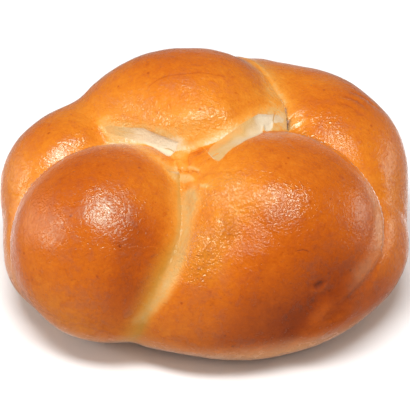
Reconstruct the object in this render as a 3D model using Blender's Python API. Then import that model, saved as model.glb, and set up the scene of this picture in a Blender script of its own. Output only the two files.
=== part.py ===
"""A knotted sweet bread bun: soft ropes of dough crossed over one another, baked into one piece with a flat base.

Run it with blender --background --python part.py, or from Blender's text editor. Units are metres, +Z is up,
-Y is the front, and the origin is on the table under the middle of the bun.
"""

import math

import bmesh
import bpy
import numpy as np
from mathutils import Vector

MM = 0.001

# Driving dimensions
BUN_WIDTH = 119.0 * MM  # left to right, over the widest ropes
DRAWN_WIDTH = 119.0 * MM  # the width at which the rope stations below were set out
BASE_EDGE_ROUND = 5.0 * MM  # how softly the sides turn under into the flat base
UNEVENNESS = 0.18 * MM  # how far the crust wanders from the ropes' true rounds
UNEVEN_LENGTH = 34.0 * MM  # from one slow rise of the crust to the next
UNEVEN_SPREAD = 0.3  # how much longer or shorter than that the waves are
UNEVEN_WAVES = 7  # crossing waves that make up the unevenness
BALLS_PER_SPAN = 14  # steps along a rope between two stations
SPHERE_SUBDIVISIONS = 7
SOLID_TRIANGLES = 11000  # what the finished solid is thinned to

SIZE = BUN_WIDTH / DRAWN_WIDTH
GOLDEN_ANGLE = math.pi * (3.0 - math.sqrt(5.0))
LEVEL = 1e-3  # a direction less steep than this never meets the table
MISSED = -1000.0  # the reach, in millimetres, along a direction that misses a rope

# The point inside the bun from which all of its crust can be seen, and where the origin lies in the stations
CORE = (0.0, 0.0, 27.0)
ORIGIN = (-0.13, 4.46, 0.0)

# Colour of the egg-washed crust
CRUST_COLOUR = (0.56, 0.21, 0.035, 1.0)
CRUST_ROUGHNESS = 0.38

# The ropes in the order they were laid, from the underside up. A station is where the middle of the rope lies
# (right, back and up, in millimetres) and the rope's half thickness there. The fillet is how softly the rope
# has grown together with those under it, and flatten is the share of its height that it keeps. A swell is a
# stretch where the rope bulges or thins, with a fillet of its own into the rope.
ROPES = {
    "underside": {
        "stations": [(-8, 6, 8, 38.5), (-2, 3.5, 8, 40), (9, 1, 8, 40.5)],
        "fillet": 2.0,
        "flatten": 0.42,
    },
    "under_rope": {
        "stations": [
            (-39.5, -8, 18.5, 18),
            (-39, 4, 18.5, 18.5),
            (-32, 17, 18.5, 18.5),
            (-19, 28, 18, 18),
            (-3, 34, 17.8, 17.8),
            (15, 34.5, 19.3, 18.8),
            (31, 25.5, 19.4, 19.2),
            (38.5, 8, 19, 19),
            (38, -6, 18.5, 18.5),
        ],
        "fillet": 5.0,
    },
    "left_loop": {
        "stations": [(-38, -12, 20.5, 19.3), (-38.5, -1, 24, 20), (-37.5, 10, 27.5, 21.3), (-28, 20, 26, 19)],
        "fillet": 4.0,
    },
    "right_loop": {
        "stations": [
            (15, 34, 28.5, 20.3),
            (29.5, 27, 28.5, 21.8),
            (36.8, 16.5, 28.5, 22.2),
            (36.9, 5, 26, 20.7),
            (36.3, -3, 22, 19.2),
            (36, -10, 20, 21.2),
            (26.5, -20, 19, 20),
            (17, -22, 18, 18.5),
        ],
        "fillet": 8.0,
    },
    "back_rope": {
        "stations": [(-24, 20, 31, 19.5), (-14, 24, 34, 23.3), (-3, 23, 35.3, 25), (4.5, 17, 34, 23)],
        "fillet": 6.0,
    },
    "front_left_rope": {
        "stations": [(-10, -3, 30, 15.5), (-22, -8, 29, 22), (-27.8, -15, 26.2, 27), (-26.5, -18, 21.5, 22.3)],
        "fillet": 3.0,
        "swells": [
            {"stations": [(-13.5, -11.5, 32, 15), (-15, -18.5, 29.5, 17), (-22, -23, 23, 17)], "fillet": 8.0},
        ],
    },
    "front_right_rope": {
        "stations": [
            (19, -4.5, 33, 19),
            (22.5, -4.5, 32.5, 20.3),
            (24, -8.5, 29.5, 24),
            (22.3, -12, 27, 27),
            (15.5, -10, 25, 29.5),
            (15, -17.3, 22.8, 26.8),
            (7, -22.5, 20.5, 23),
            (-2, -25.5, 19.5, 19),
            (-13.5, -23.3, 17, 16.8),
        ],
        "fillet": 4.0,
        "swells": [
            {"stations": [(-3.5, -2, 33, 11), (8, -7, 33, 16.5)], "fillet": 12.0},
            {"stations": [(5.5, -10, 32, 15.5), (3.5, -17.5, 28.5, 18.2), (-4, -23.5, 22.5, 18.2)], "fillet": 9.0},
            {
                "stations": [
                    (5, -15, 41, 10),
                    (4.8, -21, 39.2, 10),
                    (3.8, -26.3, 37.8, 9),
                    (0, -29, 34.6, 8.5),
                    (-2, -32.3, 31, 8),
                    (-4.8, -34, 26, 8),
                ],
                "fillet": 5.0,
            },
            {"stations": [(26.5, -8.5, 31, 20), (29, -13, 28.5, 21.5), (27.5, -17.5, 24.5, 20.5)], "fillet": 5.0},
        ],
    },
    "right_web": {
        "stations": [
            (43.5, -13.8, 30.1, 7.7),
            (43.1, -17.7, 28.2, 8),
            (41, -21.8, 26.7, 8.2),
            (38, -26.1, 24, 8.3),
            (33, -29.9, 21.8, 8.3),
            (27.2, -32.3, 18.7, 8.2),
        ],
        "fillet": 7.0,
    },
    "knot": {
        "stations": [(-4.5, 2, 36.2, 10.5), (-3.5, -5, 36, 11), (-3.5, -12, 34.2, 11)],
        "fillet": 6.0,
    },
}


def clear_scene():
    for obj in list(bpy.data.objects):
        bpy.data.objects.remove(obj)


def rope_balls(stations):
    """Balls along a smooth Catmull-Rom path through the stations, as rows of x, y, z and radius."""
    known = np.array(stations, float)
    before = 2 * known[0] - known[1]
    after = 2 * known[-1] - known[-2]
    ends = np.vstack([before, known, after])
    spans = []
    for start in range(len(known) - 1):
        a, b, c, d = ends[start : start + 4]
        t = np.linspace(0.0, 1.0, BALLS_PER_SPAN)[:, None]
        cubic = (3 * b - a - 3 * c + d) * t**3
        square = (2 * a - 5 * b + 4 * c - d) * t**2
        spans.append(0.5 * (2 * b + (c - a) * t + square + cubic))
    return np.vstack(spans)


def rope_reach(directions, rope):
    """How far from the core the rope's skin lies along each direction, in millimetres."""
    balls = rope_balls(rope["stations"])
    squash = np.array([1.0, 1.0, rope.get("flatten", 1.0)])
    rays = directions / squash
    centres = (balls[:, :3] - CORE) / squash
    ray_square = (rays * rays).sum(axis=1)[:, None]
    along = rays @ centres.T
    outside = (centres * centres).sum(axis=1) - balls[:, 3] ** 2
    under_root = along**2 - ray_square * outside
    far_side = (along + np.sqrt(np.maximum(under_root, 0.0))) / ray_square
    reach = np.where(under_root > 0, far_side, MISSED).max(axis=1)
    for swell in rope.get("swells", []):
        reach = soft_max(reach, rope_reach(directions, swell), swell["fillet"])
    return reach


def soft_max(a, b, fillet):
    """The larger of two reaches, with the crease where they are equal rounded by the fillet."""
    near = np.maximum(fillet - np.abs(a - b), 0.0) / fillet
    return np.maximum(a, b) + near**3 * fillet / 6


def unevenness(points):
    """The slow rise and fall of hand-shaped dough: waves that run all ways through the bun, in millimetres."""
    total = np.zeros(len(points))
    for wave in range(UNEVEN_WAVES):
        turn = wave * GOLDEN_ANGLE
        rise = 1.0 - (2 * wave + 1) / UNEVEN_WAVES
        level = math.sqrt(1.0 - rise * rise)
        heading = np.array([level * math.cos(turn), level * math.sin(turn), rise])
        length = UNEVEN_LENGTH / MM * (1.0 + UNEVEN_SPREAD * math.sin(wave))
        total += np.sin(points @ heading * 2 * math.pi / length + turn)
    return UNEVENNESS / MM * total / math.sqrt(UNEVEN_WAVES / 2)


def crust_reach(directions):
    """How far from the core the bun's crust lies along each direction, in millimetres."""
    reach = np.zeros(len(directions))
    for rope in ROPES.values():
        reach = soft_max(reach, rope_reach(directions, rope), rope["fillet"])
    reach += unevenness(CORE + directions * reach[:, None])
    to_table = CORE[2] / np.maximum(-directions[:, 2], LEVEL)
    return -soft_max(-reach, -to_table, BASE_EDGE_ROUND / MM)


def crust_material():
    material = bpy.data.materials.new("crust")
    material.use_nodes = True
    shader = material.node_tree.nodes["Principled BSDF"]
    shader.inputs["Base Color"].default_value = CRUST_COLOUR
    shader.inputs["Roughness"].default_value = CRUST_ROUGHNESS
    shader.inputs["Metallic"].default_value = 0.0
    return material


def bun_mesh():
    """A ball whose points are pushed out from the core to the crust."""
    shape = bmesh.new()
    bmesh.ops.create_icosphere(shape, subdivisions=SPHERE_SUBDIVISIONS, radius=1.0)
    directions = np.array([vertex.co.normalized() for vertex in shape.verts])
    reach = crust_reach(directions)
    places = (CORE + directions * reach[:, None] - ORIGIN) * MM * SIZE
    for vertex, place in zip(shape.verts, places):
        vertex.co = Vector(place)
    mesh = bpy.data.meshes.new("bun")
    shape.to_mesh(mesh)
    shape.free()
    return mesh


def make_bun(collection):
    mesh = bun_mesh()
    mesh.materials.append(crust_material())
    mesh.shade_smooth()
    bun = bpy.data.objects.new("bun", mesh)
    collection.objects.link(bun)
    thin = bun.modifiers.new("thin", "DECIMATE")
    thin.ratio = SOLID_TRIANGLES / len(mesh.polygons)
    return bun


def main():
    clear_scene()
    collection = bpy.data.collections.new("sweet_bread_bun")
    bpy.context.scene.collection.children.link(collection)
    make_bun(collection)


main()
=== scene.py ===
"""The looks of a knotted sweet bread bun: a glossy, unevenly browned crust with torn pale dough in its folds.

Run it with Blender 4.5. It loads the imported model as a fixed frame, in metres, with +Z up and -Y the front,
and makes the bread in its place, with a floor, soft studio light and the camera.
"""

import math

import bpy
import numpy as np
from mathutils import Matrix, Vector
from mathutils.kdtree import KDTree


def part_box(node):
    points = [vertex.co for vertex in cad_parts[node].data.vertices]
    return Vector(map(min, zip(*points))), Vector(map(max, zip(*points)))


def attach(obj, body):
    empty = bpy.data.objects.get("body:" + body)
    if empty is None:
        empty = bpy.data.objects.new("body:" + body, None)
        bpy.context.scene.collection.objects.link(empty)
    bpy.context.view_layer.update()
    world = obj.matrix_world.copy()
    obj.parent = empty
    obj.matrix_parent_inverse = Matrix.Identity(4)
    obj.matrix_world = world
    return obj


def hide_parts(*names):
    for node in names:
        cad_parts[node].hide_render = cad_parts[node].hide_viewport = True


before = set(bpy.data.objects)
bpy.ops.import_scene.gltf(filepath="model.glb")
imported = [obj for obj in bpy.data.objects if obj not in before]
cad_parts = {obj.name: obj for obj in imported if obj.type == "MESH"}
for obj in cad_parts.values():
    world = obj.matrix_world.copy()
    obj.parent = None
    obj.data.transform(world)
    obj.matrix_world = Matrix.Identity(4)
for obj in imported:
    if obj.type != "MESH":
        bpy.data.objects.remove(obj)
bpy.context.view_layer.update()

bl_info = {
    "name": "Sweet Bread Bun",
    "version": (1, 0, 0),
    "blender": (4, 5, 0),
    "location": "3D View > Sidebar > Bun",
    "description": "Makes a knotted sweet bread bun with a glossy browned crust and torn pale folds",
    "category": "Add Mesh",
}

MM = 0.001
GOLDEN_ANGLE = math.pi * (3.0 - math.sqrt(5.0))

# The camera: how high it looks from, how far off it stands and what it looks at, in the bun's frame
CAMERA_ELEVATION = math.radians(42.0)
CAMERA_DISTANCE = 700.0 * MM
CAMERA_TARGET = Vector((0.13, -4.46, 28.0)) * MM
CAMERA_LENS = 213.04  # millimetres, before a sensor 36 mm wide
SENSOR_WIDTH = 36.0
TOWARDS_CAMERA = Vector((0.0, -math.cos(CAMERA_ELEVATION), math.sin(CAMERA_ELEVATION)))
PICTURE_UP = Vector((0.0, math.sin(CAMERA_ELEVATION), math.cos(CAMERA_ELEVATION)))
PICTURE_WIDTH = 410.0  # units across the picture, in which marks on the crust are placed
PICTURE_MIDDLE = (205.0, 204.5)
PICTURE_UNIT = SENSOR_WIDTH / CAMERA_LENS * CAMERA_DISTANCE / MM / PICTURE_WIDTH  # a unit at the bun, in mm
CLIP_NEAR = 0.05
CLIP_FAR = 20.0

# The point inside the bun from which all of its crust can be seen, in the ropes' millimetres
CORE = np.array([0.0, 0.0, 27.0])
BASE_EDGE_ROUND = 5.0  # how softly the sides turn under into the flat base
UNEVENNESS = 0.18  # how far the crust wanders from the ropes' true rounds
UNEVEN_LENGTH = 34.0
UNEVEN_SPREAD = 0.3
UNEVEN_WAVES = 7
BALLS_PER_SPAN = 14  # steps along a path between two stations
LEVEL = 1e-3  # a direction less steep than this never meets the table
MISSED = -1000.0  # the reach along a direction that misses a rope

# The ropes in the order they were laid, from the underside up, as in the solid: a station is where the middle
# of the rope lies (right, back and up, in millimetres) and its half thickness there. The fillet is how softly
# the rope has grown together with those under it, and a swell is a stretch where it bulges. The web is the
# low ridge between the right loop and the right front rope, and the knot lies where the three ropes meet.
ROPES = {
    "underside": {
        "stations": [(-8, 6, 8, 38.5), (-2, 3.5, 8, 40), (9, 1, 8, 40.5)],
        "fillet": 2.0,
        "flatten": 0.42,
    },
    "under_rope": {
        "stations": [
            (-39.5, -8, 18.5, 18), (-39, 4, 18.5, 18.5), (-32, 17, 18.5, 18.5), (-19, 28, 18, 18),
            (-3, 34, 17.8, 17.8), (15, 34.5, 19.3, 18.8), (31, 25.5, 19.4, 19.2), (38.5, 8, 19, 19),
            (38, -6, 18.5, 18.5),
        ],
        "fillet": 5.0,
    },
    "left_loop": {
        "stations": [(-38, -12, 20.5, 19.3), (-38.5, -1, 24, 20), (-37.5, 10, 27.5, 21.3), (-28, 20, 26, 19)],
        "fillet": 4.0,
    },
    "right_loop": {
        "stations": [
            (15, 34, 28.5, 20.3), (29.5, 27, 28.5, 21.8), (36.8, 16.5, 28.5, 22.2), (36.9, 5, 26, 20.7),
            (36.3, -3, 22, 19.2), (36, -10, 20, 21.2), (26.5, -20, 19, 20), (17, -22, 18, 18.5),
        ],
        "fillet": 8.0,
    },
    "back_rope": {
        "stations": [(-24, 20, 31, 19.5), (-14, 24, 34, 23.3), (-3, 23, 35.3, 25), (4.5, 17, 34, 23)],
        "fillet": 6.0,
    },
    "front_left_rope": {
        "stations": [
            (-10, -3, 30, 15.5), (-22, -8, 29, 22), (-27.8, -15, 26.2, 27), (-26.5, -18, 21.5, 22.3),
        ],
        "fillet": 3.0,
        "swells": [
            {"stations": [(-13.5, -11.5, 32, 15), (-15, -18.5, 29.5, 17), (-22, -23, 23, 17)], "fillet": 8.0},
        ],
    },
    "front_right_rope": {
        "stations": [
            (19, -4.5, 33, 19), (22.5, -4.5, 32.5, 20.3), (24, -8.5, 29.5, 24), (22.3, -12, 27, 27),
            (15.5, -10, 25, 29.5), (15, -17.3, 22.8, 26.8), (7, -22.5, 20.5, 23), (-2, -25.5, 19.5, 19),
            (-13.5, -23.3, 17, 16.8),
        ],
        "fillet": 4.0,
        "swells": [
            {"stations": [(-3.5, -2, 33, 11), (8, -7, 33, 16.5)], "fillet": 12.0},
            {
                "stations": [(5.5, -10, 32, 15.5), (3.5, -17.5, 28.5, 18.2), (-4, -23.5, 22.5, 18.2)],
                "fillet": 9.0,
            },
            {
                "stations": [
                    (5, -15, 41, 10), (4.8, -21, 39.2, 10), (3.8, -26.3, 37.8, 9), (0, -29, 34.6, 8.5),
                    (-2, -32.3, 31, 8), (-4.8, -34, 26, 8),
                ],
                "fillet": 5.0,
            },
            {
                "stations": [(26.5, -8.5, 31, 20), (29, -13, 28.5, 21.5), (27.5, -17.5, 24.5, 20.5)],
                "fillet": 5.0,
            },
        ],
    },
    "right_web": {
        "stations": [
            (43.5, -13.8, 30.1, 7.7), (43.1, -17.7, 28.2, 8), (41, -21.8, 26.7, 8.2), (38, -26.1, 24, 8.3),
            (33, -29.9, 21.8, 8.3), (27.2, -32.3, 18.7, 8.2),
        ],
        "fillet": 7.0,
    },
    "knot": {
        "stations": [(-4.5, 2, 36.2, 10.5), (-3.5, -5, 36, 11), (-3.5, -12, 34.2, 11)],
        "fillet": 6.0,
    },
}
ROPE_NAMES = list(ROPES)

# How brown each rope is baked, from 0, raw dough, to 1, dark crust, at places across and down the picture.
# Two light places are partly painted highlight, standing for glints: (200, 250) on the right front rope and
# (40, 160) on the left loop
BROWNING_AND_PAINTED_HIGHLIGHTS = {
    "front_left_rope": [
        (90, 165, 0.77), (120, 165, 0.68), (150, 180, 0.60), (170, 210, 0.57), (150, 240, 1.0),
        (95, 215, 0.74), (90, 260, 0.70), (45, 270, 0.67), (90, 300, 0.66), (130, 290, 0.97),
        (30, 230, 0.66), (150, 325, 0.62), (60, 190, 0.74), (165, 270, 0.56), (60, 315, 0.52),
        (178, 232, 0.5),
    ],
    "front_right_rope": [
        # (200, 250) is lighter partly as a painted highlight, for the glints on the shoulder beside the seam
        (200, 250, 0.44), (190, 300, 0.62), (250, 330, 0.90), (310, 320, 1.16), (280, 335, 1.0),
        (325, 300, 1.10), (260, 250, 0.76), (290, 260, 0.78), (280, 160, 0.66), (330, 180, 0.70),
        (350, 230, 0.76), (340, 280, 0.94), (215, 185, 0.38), (240, 170, 0.52), (300, 290, 0.88),
        (220, 215, 0.50), (205, 320, 0.74), (250, 355, 0.60), (180, 320, 0.62),
    ],
    "back_rope": [
        (180, 75, 0.63), (180, 100, 0.56), (120, 90, 0.54), (235, 100, 0.62), (190, 130, 0.17),
        (205, 113, 0.46), (160, 60, 0.66), (235, 120, 0.50), (150, 118, 0.44), (110, 118, 0.44),
        (215, 145, 0.21), (255, 110, 0.42), (200, 148, 0.23),
    ],
    "right_loop": [
        (300, 90, 0.61), (330, 110, 0.65), (380, 150, 0.58), (395, 200, 0.55), (395, 250, 0.62),
        (345, 150, 0.56), (385, 215, 0.62), (370, 300, 0.84), (275, 85, 0.5),
    ],
    "left_loop": [
        # (40, 160) is lighter partly as a painted highlight on the left loop
        (50, 135, 0.62), (40, 160, 0.45), (65, 150, 0.56), (12, 190, 0.5), (90, 112, 0.48), (15, 250, 0.52),
    ],
    "right_web": [
        (381, 205, 0.64), (384, 225, 0.66), (381, 245, 0.66), (374, 265, 0.70), (360, 287, 0.82),
        (338, 307, 1.02), (312, 328, 1.0),
    ],
    "knot": [(188, 155, 0.24), (180, 168, 0.20), (200, 165, 0.24), (190, 185, 0.21), (190, 200, 0.18)],
}
BROWNING_SPREAD = 8.0  # how far one place's browning reaches, in millimetres
BROWNING_BLEND = 1.5  # how far below the topmost rope another one still lends its browning, in millimetres
BROWNING_ELSEWHERE = 0.62  # how brown the crust is away from those places, and how soon they give way to it
BROWNING_ELSEWHERE_WEIGHT = 0.02

# The torn folds, where raw dough shows between the ropes: their outlines across and down the picture
LEFT_TEAR = [
    (104, 127), (110, 125), (121, 127), (134, 127.5), (144, 128), (153, 132), (160, 135), (170, 139),
    (178.4, 142), (176.4, 149), (174, 152.5), (170, 156), (166, 155), (160, 151), (153, 147), (141, 142.5),
    (130, 139.2), (121, 136.5), (111, 134), (106, 132),
]
RIGHT_TEAR = [
    (213, 159), (218.6, 161.2), (222.6, 158.6), (225.3, 154.6), (232, 148.5), (238.7, 144.5), (248, 139.2),
    (256, 135.8), (262.8, 132.5), (263.8, 125.5), (265, 130.6), (267, 131.3), (270.8, 130.4), (272.8, 127.8),
    (274, 122.4), (275.5, 123.5), (279, 122.5), (282.2, 123.7), (283.5, 119.7), (279, 115.5), (273.5, 113.8),
    (258.7, 114), (249, 119), (240, 125), (230, 132.5), (219, 140.5), (210, 148), (208, 154),
]
# How brown the torn dough itself is, at places across and down the picture. The browner places at the left
# tear's left end and the right tear's lower tip are partly painted shade, where the tear runs down into its
# fold
TEAR_BROWNING_AND_SHADE = [
    (108, 130, 0.30), (118, 131, 0.26), (128, 134, 0.20), (140, 136, 0.09), (152, 138, 0.02),
    (170, 147, 0.0), (150, 131, 0.12), (218, 157, 0.24), (226, 149, 0.22), (240, 139, 0.14),
    (252, 131, 0.10), (262, 122, 0.05), (270, 122, 0.0), (279, 118, 0.12), (248, 121, 0.28),
    (238, 128, 0.34), (225, 138, 0.34), (212, 148, 0.34),
]
TEAR_SPREAD = 2.2
TEAR_ELSEWHERE = 0.15
TEAR_ELSEWHERE_WEIGHT = 0.01
TEAR_SLOPE = 0.25  # torn dough this brown has stretched instead of tearing, and lies level with the crust
TEAR_STEP = (-0.2, 0.7)  # how far inside a tear's outline the crust starts and ends stepping down
HALO_WIDTH = 3.5  # the paler crust beside a tear on the back rope, and how much paler it is
HALO_PALER = 0.2
# Where the crust is dry and hardly shines: places across and down the picture, by how dry the crust is there
DRY = {
    1.0: [
        (215, 140), (222, 133), (205, 136), (200, 146), (190, 140), (180, 155), (195, 158), (183, 172),
        (190, 205), (185, 222), (183, 235), (182, 246), (175, 265), (165, 285), (180, 102), (165, 100),
        (196, 101), (345, 152), (355, 160), (265, 245), (250, 258), (300, 248), (275, 258), (240, 272),
    ],
    0.9: [
        (275, 108), (275, 116), (102, 128), (106, 136), (250, 246), (275, 246), (262, 256), (285, 232),
        (235, 250), (250, 228), (268, 232), (350, 325), (338, 318),
    ],
    0.8: [
        (192, 184), (150, 305), (212, 103), (362, 170), (262, 238), (238, 252), (290, 240), (310, 230),
        (370, 300),
    ],
    0.7: [
        (225, 150), (250, 130), (318, 215), (310, 330),
    ],
    0.6: [
        (165, 158), (170, 165), (305, 228), (222, 210), (210, 215), (320, 195), (240, 205), (100, 235),
    ],
    0.5: [
        (140, 145), (338, 145), (248, 216), (262, 222), (280, 228), (250, 190), (340, 280), (300, 345),
        (385, 275),
    ],
    0.4: [
        (112, 222), (250, 352),
    ],
    0.3: [
        (262, 205), (97, 215), (85, 222),
    ],
    0.0: [
        (203, 246), (209, 240), (220, 226), (230, 232), (197, 262), (211, 199), (230, 191), (284, 203),
        (274, 213), (300, 197), (205, 113), (325, 134),
    ],
}
DRY_SPREAD = 2.6
DRY_ELSEWHERE_WEIGHT = 0.15
# How wrinkled the glaze is, at places across and down the picture
WRINKLED = [
    (97, 215, 0.4), (80, 218, 0.4), (128, 208, 0.8), (110, 235, 0.6), (100, 200, 0.5), (284, 203, 1.1),
    (262, 205, 1.0), (275, 214, 1.2), (300, 197, 1.0), (305, 212, 1.0), (300, 232, 0.6), (255, 232, 0.7),
    (211, 199, 1.5), (230, 191, 1.5), (245, 208, 1.0), (218, 224, 1.8), (226, 234, 1.8), (236, 226, 1.3),
    (203, 246, 2.2), (209, 238, 1.8), (197, 262, 2.2), (200, 254, 2.0), (250, 250, 0.5), (270, 262, 0.3),
    (235, 262, 0.6), (225, 285, 0.4), (290, 250, 0.4), (205, 113, 1.0), (190, 116, 1.0), (160, 116, 1.2),
    (125, 115, 1.2), (325, 134, 1.0), (65, 152, 0.3), (40, 160, 0.3),
]
WRINKLED_SPREAD = 4.0
WRINKLED_ELSEWHERE = 0.45
WRINKLED_ELSEWHERE_WEIGHT = 0.15
# Scraps of pale dough that lie over the knot: their outlines across and down the picture
SCRAPS = [
    [
        (171, 173.5), (175, 171.3), (182, 172), (189, 173.2), (193, 176.5), (196.5, 180), (190, 182),
        (184.5, 182.8), (179, 179.5), (174.5, 176.5),
    ],
    [(186, 166), (190, 165.5), (196, 167.5), (202, 170.3), (199, 172), (194, 170), (188.5, 169)],
    [(199, 184), (206, 183), (212, 187), (207, 189), (201, 188)],
    [(184, 189), (190, 187), (196, 192), (197, 200), (190, 206), (184, 200)],
]
# Fine lines across and down the picture, from the palest, a thread of dough, to the darkest, a crack; the
# dark line above the flap over the knot is the flap's painted shadow
LINES_AND_PAINTED_SHADOW = [
    (0.22, [(165.7, 148.5), (169, 149.2), (175, 152)]),
    (0.30, [(213.5, 156.2), (216, 154.3), (219, 153)]),
    # Painted shadow: the flap's shadow along its top edge
    (0.12, [(170.4, 168.5), (178, 168.8), (184, 169.8), (188, 171.2)]),
    (0.14, [(192.5, 170.6), (197, 172)]),
    (0.08, [(189, 165), (188, 159), (190, 153.5), (195.5, 151.6), (201, 153.5)]),
    (-0.12, [(203, 147.5), (208, 153), (213, 158.5), (217.6, 162)]),
    (0.10, [(149, 86), (163, 77), (183, 74), (205, 73), (230, 78)]),
    (0.16, [(298, 251), (303.5, 250), (309, 251.5)]),
    (-0.10, [(128, 248), (136, 246.5), (144, 248.5), (152, 246.5), (160, 249)]),
    (0.20, [(275, 113), (274.6, 117), (274, 122.4)]),
    (0.08, [(345, 96), (356, 100), (366, 107)]),
    (0.08, [(352, 92), (364, 97), (376, 107)]),
    (0.07, [(340, 103), (350, 106), (360, 113)]),
    (0.06, [(118, 131), (132, 133.5), (145, 137)]),
    (0.08, [(247, 60), (254, 66), (262, 76), (268, 88)]),
    (0.07, [(184, 187), (178, 184), (170, 178)]),
    (0.08, [(203, 177), (209, 174), (216, 173)]),
    (0.07, [(172, 160), (178, 159), (184, 161)]),
]
LINE_REACH = 4.0  # millimetres past which a line leaves no trace
LINE_FADE = 0.7
LINE_THINNING = 4  # one in this many places along its path is kept
# The pale dough along the seam between the two front ropes, on the right one's flank
PALE_SEAM = [
    (182, 190), (180, 205), (181, 220), (179, 235), (173.5, 250), (169, 262), (162.5, 276), (157, 287),
    (150.5, 299), (144, 310), (134, 322), (146, 320), (158, 309), (167, 298), (174, 287), (180, 275),
    (185, 262), (188, 250), (190, 238), (192, 225), (196, 210), (200, 197), (195, 186),
]

# Painted reflection: the smooth pale band on the right front rope's right flank, where the glaze turns away,
# painted in the tan: stretches of it, each with how pale it is
PAINTED_REFLECTION_BAND = [
    (0.42, [(370, 190), (377, 208), (380, 226), (379, 244)]),
    (0.28, [(364, 178), (374, 198), (380, 226), (378, 246), (370, 262), (360, 275)]),
    (0.10, [(380, 226), (378, 246), (364, 270), (350, 288)]),
]
PAINTED_REFLECTION_BAND_WIDTH = 2.6

# Painted shade low in the valley of the front seam: the dough's own honey yellow there, darkened as if
# shaded. How far it reaches on the left rope and on the right one, in millimetres, between which rows of the
# picture it widens, and how steeply it fades above and below them
SEAM_REACH_LEFT = 7.0
SEAM_REACH_RIGHT = 3.0
SEAM_ROWS = (205.0, 260.0)
SEAM_FADE_ABOVE = 3.0
SEAM_FADE_BELOW = 0.8

# The crust of one rope beside its crease with another: how far this reaches and how much deeper the crust
# sinks towards the crease, in millimetres, and how much paler it is baked there
CREASES = [
    ("front_left_rope", "front_right_rope", 7.0, 1.1, 0.30),
    ("front_right_rope", "front_left_rope", 6.0, 1.2, 0.10),
    ("front_left_rope", "left_loop", 3.0, 0.0, 0.12),
    ("left_loop", "front_left_rope", 7.0, 1.8, 0.10),
    ("right_loop", "front_right_rope", 7.0, 1.5, 0.08),
    ("front_right_rope", "right_loop", 3.0, 0.0, 0.10),
    ("back_rope", "front_left_rope", 6.0, 0.0, 0.25),
    ("front_left_rope", "back_rope", 6.0, 0.0, 0.25),
    ("back_rope", "front_right_rope", 4.0, 0.0, 0.22),
    ("front_right_rope", "back_rope", 3.0, 0.0, 0.06),
    ("back_rope", "right_loop", 7.0, -1.1, 0.30),
    ("right_loop", "back_rope", 7.0, -1.1, 0.24),
]
CREASE_HEIGHTS = (22.0, 38.0)  # below the first creases aren't sunk at all, and above the second in full

# Marks on the crust, each on one rope or on all, along a path across and down the picture: how wide it is and
# how high it stands or how deep it lies, in millimetres, and how much browner it is. In the pit, the flap's
# fold and the lower crease of the right flank the browner colour is painted shade.
MARKS_AND_PAINTED_SHADE = [
    ("front_right_rope", 6.0, 1.2, 0.0, [(238, 199), (258, 196), (284, 193), (312, 197)]),
    ("front_right_rope", 2.4, 0.5, 0.0, [(213, 195), (216, 197)]),
    ("front_right_rope", 2.4, 0.5, 0.0, [(226, 188), (233, 186)]),
    ("front_right_rope", 2.8, 1.0, 0.0, [(219, 219), (222, 227)]),
    ("front_right_rope", 2.4, 1.1, 0.0, [(201, 240), (203, 248)]),
    ("front_right_rope", 2.4, 1.1, 0.0, [(196, 257), (198, 265)]),
    ("front_right_rope", 4.5, -0.6, 0.0, [(238, 212), (234, 236)]),
    ("back_rope", 3.4, 0.9, 0.0, [(186, 118), (202, 115), (224, 112)]),
    ("back_rope", 2.2, 0.5, -0.02, [(103, 118), (118, 116), (135, 117), (150, 121), (165, 128)]),
    (
        "front_left_rope", 2.8, 0.0, -0.32,
        [(104, 139), (118, 141), (131, 144), (146, 151), (160, 160), (174, 172)],
    ),
    (None, 2.4, 0.0, -0.14, [(250, 62), (262, 78), (268, 92), (274, 110)]),
    # Painted shade: the pit is browner so that it looks shaded
    (None, 0.9, -0.5, 0.20, [(317, 286), (321, 283)]),
    (None, 1.0, 0.3, -0.10, [(314, 290), (320, 290), (325, 286)]),
    (None, 1.5, 0.4, -0.04, [(176, 174), (184, 177), (191, 179)]),
    # Painted shade: the fold above the flap is browner, as the flap's shadow along its top edge
    (None, 0.7, -0.3, 0.04, [(170, 168.6), (178, 169), (189, 172)]),
    (None, 0.7, -0.25, 0.04, [(192, 170.6), (197, 172)]),
    (None, 1.1, 0.3, -0.04, [(189, 166.8), (195, 168), (202, 171)]),
    (None, 1.7, 0.35, 0.05, [(195, 159), (197, 160)]),
    (None, 0.7, -0.25, 0.04, [(189, 165), (187.5, 159), (190, 153), (195.5, 151), (201, 153)]),
    (None, 1.3, 0.4, 0.05, [(200, 147), (205, 153), (208, 160)]),
    (None, 1.2, 0.3, 0.05, [(180, 152), (184, 150)]),
    (None, 1.2, 0.3, 0.05, [(188, 140), (192, 139)]),
    (None, 1.2, 0.2, -0.05, [(201, 185), (212, 190)]),
    (None, 1.0, -0.3, 0.06, [(184, 188), (190, 190), (196, 187)]),
    # Painted shade: the crease low between the right front rope and the right loop is browner along its line
    ("right_web", 1.8, -0.5, 0.05, [(379, 264), (370, 277), (357, 292), (343, 307), (328, 322)]),
    ("right_loop", 0.8, -0.3, 0.05, [(345, 96), (356, 100), (366, 107)]),
    ("right_loop", 0.8, -0.3, 0.05, [(352, 92), (364, 97), (376, 107)]),
    ("right_loop", 0.8, -0.25, 0.05, [(340, 103), (350, 106), (360, 113)]),
]
MARK_REACH = 3.0  # widths past which a mark has faded away
MARK_THINNING = 3
HIDDEN = -10.0  # how far inside an outline the crust on the far side counts as

LIFTED_HEIGHTS = (0.5, 5.0)  # below the first the base stays flat, and above the second the relief is in full
PAINTED_REFLECTION_HEIGHTS = (4.0, 18.0)  # below the first the crust has the tan painted reflection of the pale floor, and above the second it hasn't

SPHERE_DIVISIONS = 124
LEAN = np.array([0.0, -0.15, 0.35])  # which way the mesh is finest: up and to the front

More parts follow.
